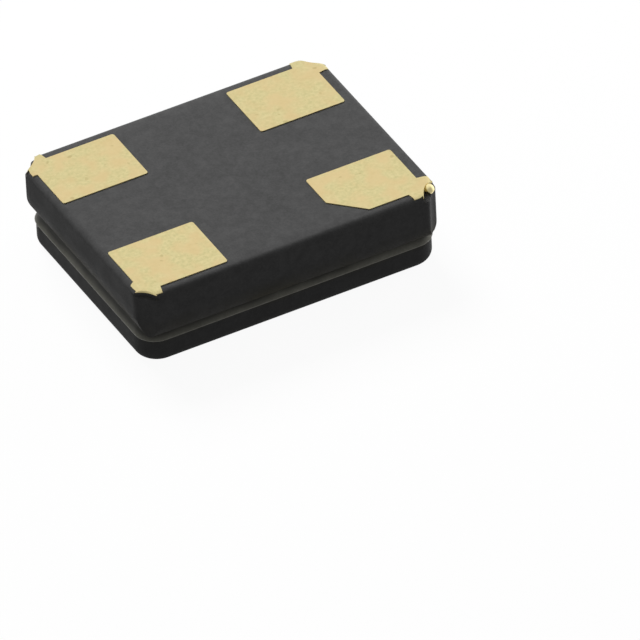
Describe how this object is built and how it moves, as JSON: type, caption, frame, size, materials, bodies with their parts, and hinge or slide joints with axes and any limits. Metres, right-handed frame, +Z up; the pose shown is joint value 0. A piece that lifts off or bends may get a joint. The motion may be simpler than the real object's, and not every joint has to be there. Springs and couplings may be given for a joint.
{
  "type": "crystal oscillator",
  "caption": "Surface-mount crystal oscillator in a black ceramic package, glass-sealed lid, gold-plated corner terminals, one with a chamfered index corner",
  "frame": {"origin": "centre of the seating plane under the terminals; +Z points up through the lid, +X along the long side", "axes": "X along the length (3.2 mm), Y across the width (2.5 mm), Z up from the terminals to the lid"},
  "size_m": [0.0032, 0.0024, 0.0009],
  "materials": {
    "base_ceramic": "fired, matte, fine-grained, near black",
    "lid_ceramic": "fired, matte, fine-grained, black",
    "seal_glass": "opaque olive-brown frit glass, satin",
    "gold_plating": "matte gold plating over rough tungsten print, finely speckled",
    "gold_wire": "bright drawn gold wire",
    "quartz": "clear etched quartz crystal",
    "electrode_silver": "thin evaporated silver",
    "silver_adhesive": "silver-filled adhesive, dull grey",
    "silicon": "polished silicon die, blue-grey"
  },
  "bodies": {
    "root": {"ceramic_base": "base_ceramic", "glass_seal": "seal_glass", "ceramic_lid": "lid_ceramic", "terminal_1": "gold_plating", "terminal_2": "gold_plating", "terminal_3": "gold_plating", "terminal_4": "gold_plating", "quartz_blank": "quartz", "upper_electrode": "electrode_silver", "lower_electrode": "electrode_silver", "crystal_land_1": "gold_plating", "crystal_land_2": "gold_plating", "adhesive_dot_1": "silver_adhesive", "adhesive_dot_2": "silver_adhesive", "oscillator_die": "silicon", "die_attach": "silver_adhesive", "bond_land_1": "gold_plating", "bond_land_2": "gold_plating", "bond_land_3": "gold_plating", "bond_land_4": "gold_plating", "bond_land_5": "gold_plating", "bond_land_6": "gold_plating", "bond_wire_1": "gold_wire", "bond_wire_2": "gold_wire", "bond_wire_3": "gold_wire", "bond_wire_4": "gold_wire", "bond_wire_5": "gold_wire", "bond_wire_6": "gold_wire"}
  },
  "joints": []
}
